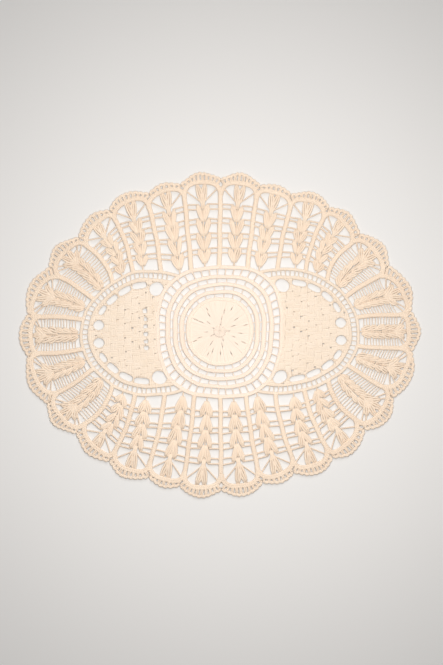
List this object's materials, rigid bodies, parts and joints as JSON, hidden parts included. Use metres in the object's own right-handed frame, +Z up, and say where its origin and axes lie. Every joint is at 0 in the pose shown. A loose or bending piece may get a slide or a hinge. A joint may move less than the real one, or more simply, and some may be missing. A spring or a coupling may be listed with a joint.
{
  "type": "crochet placemat",
  "caption": "Oval cream cotton lace placemat: a round medallion with a lobe at each side, a ring of leafy petals and a scalloped edge. Lies flat on a table under a plate.",
  "frame": {"origin": "Under the middle of the mat, on the table it lies on", "axes": "+X along the mat's long way to one pointed tip, +Y across it to the far long side, +Z up from the table"},
  "size_m": [0.402, 0.3258, 0.0026],
  "materials": {
    "cotton": "matte cream crochet cotton"
  },
  "bodies": {
    "root": {"placemat": "cotton"}
  },
  "joints": []
}
